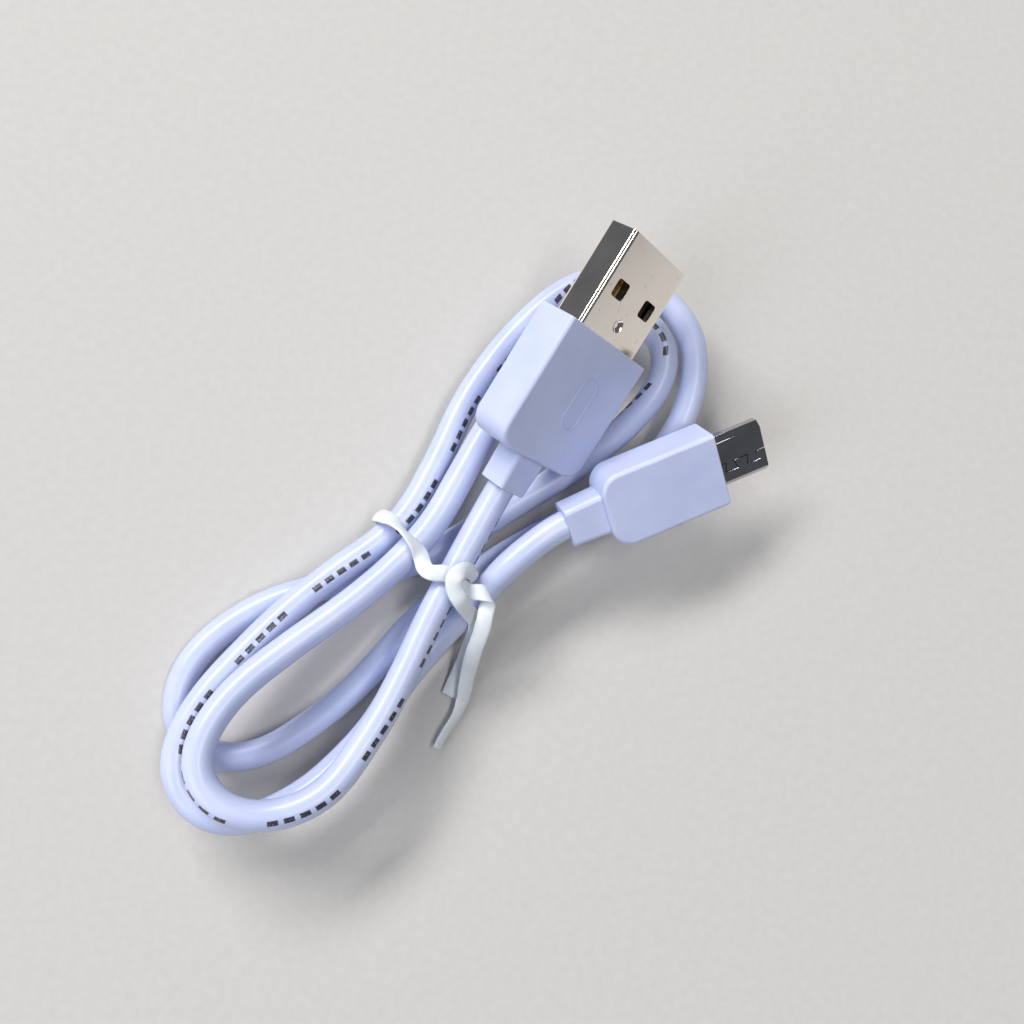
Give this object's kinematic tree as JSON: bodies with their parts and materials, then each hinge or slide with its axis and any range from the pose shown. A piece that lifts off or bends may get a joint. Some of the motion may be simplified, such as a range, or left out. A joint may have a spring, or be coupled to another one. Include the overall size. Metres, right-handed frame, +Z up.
{
  "type": "usb cable",
  "caption": "White charging lead with a USB-A plug and a Micro-USB-B plug, folded in a hank and tied with a twist tie.",
  "frame": {"origin": "bottom centre of the bounding box, on the surface that the hank lies on", "axes": "+X along the hank towards the plugs, +Z up"},
  "size_m": [0.0888, 0.0367, 0.0239],
  "materials": {
    "white_pvc": "satin",
    "tie_plastic": "satin",
    "plated_steel": "satin",
    "micro_shell_steel": "polished",
    "gold_plate": "polished",
    "copper": "satin",
    "soft_iron": "satin",
    "black_plastic": "matte",
    "red_plastic": "matte",
    "natural_polyethylene": "matte"
  },
  "bodies": {
    "lead": {"cable_jacket": "white_pvc", "micro_b_insulator": "black_plastic", "micro_b_overmould": "white_pvc", "micro_b_premould": "natural_polyethylene", "micro_b_shell": "micro_shell_steel", "twist_tie_cover": "tie_plastic", "twist_tie_wire": "soft_iron", "usb_a_contact_1": "gold_plate", "usb_a_contact_2": "gold_plate", "usb_a_contact_3": "gold_plate", "usb_a_contact_4": "gold_plate", "usb_a_overmould": "white_pvc", "usb_a_premould": "natural_polyethylene", "usb_a_shell": "plated_steel", "usb_a_tongue": "black_plastic", "wire_black_core": "copper", "wire_black_insulation": "black_plastic", "wire_red_core": "copper", "wire_red_insulation": "red_plastic"},
    "micro_b_latch_left": {"micro_b_latch_left": "micro_shell_steel"},
    "micro_b_latch_right": {"micro_b_latch_right": "micro_shell_steel"},
    "micro_b_contact_1": {"micro_b_contact_1": "gold_plate"},
    "micro_b_contact_2": {"micro_b_contact_2": "gold_plate"},
    "micro_b_contact_3": {"micro_b_contact_3": "gold_plate"},
    "micro_b_contact_4": {"micro_b_contact_4": "gold_plate"},
    "micro_b_contact_5": {"micro_b_contact_5": "gold_plate"}
  },
  "joints": [
    {"name": "latch_left_hinge", "type": "hinge", "parent": "lead", "child": "micro_b_latch_left", "pos_m": [0.02829, -0.00971, 0.01054], "axis": [-0.3234, -0.8253, -0.4629], "range_deg": [0, 3.2], "stiffness_Nm_per_rad": 0.002},
    {"name": "latch_right_hinge", "type": "hinge", "parent": "lead", "child": "micro_b_latch_right", "pos_m": [0.02677, -0.01359, 0.00837], "axis": [-0.3234, -0.8253, -0.4629], "range_deg": [0, 3.2], "stiffness_Nm_per_rad": 0.002},
    {"name": "contact_1_hinge", "type": "hinge", "parent": "lead", "child": "micro_b_contact_1", "pos_m": [0.02925, -0.0138, 0.00929], "axis": [0.3234, 0.8253, 0.4629], "range_deg": [0, 2], "stiffness_Nm_per_rad": 0.002},
    {"name": "contact_2_hinge", "type": "hinge", "parent": "lead", "child": "micro_b_contact_2", "pos_m": [0.02946, -0.01327, 0.00959], "axis": [0.3234, 0.8253, 0.4629], "range_deg": [0, 2], "stiffness_Nm_per_rad": 0.002},
    {"name": "contact_3_hinge", "type": "hinge", "parent": "lead", "child": "micro_b_contact_3", "pos_m": [0.02967, -0.01273, 0.00989], "axis": [0.3234, 0.8253, 0.4629], "range_deg": [0, 2], "stiffness_Nm_per_rad": 0.002},
    {"name": "contact_4_hinge", "type": "hinge", "parent": "lead", "child": "micro_b_contact_4", "pos_m": [0.02988, -0.01219, 0.01019], "axis": [0.3234, 0.8253, 0.4629], "range_deg": [0, 2], "stiffness_Nm_per_rad": 0.002},
    {"name": "contact_5_hinge", "type": "hinge", "parent": "lead", "child": "micro_b_contact_5", "pos_m": [0.03009, -0.01166, 0.01049], "axis": [0.3234, 0.8253, 0.4629], "range_deg": [0, 2], "stiffness_Nm_per_rad": 0.002}
  ],
  "couplings": [
    {"joint": "contact_2_hinge", "follows": "contact_1_hinge", "ratio": 1},
    {"joint": "contact_3_hinge", "follows": "contact_1_hinge", "ratio": 1},
    {"joint": "contact_4_hinge", "follows": "contact_1_hinge", "ratio": 1},
    {"joint": "contact_5_hinge", "follows": "contact_1_hinge", "ratio": 1}
  ]
}
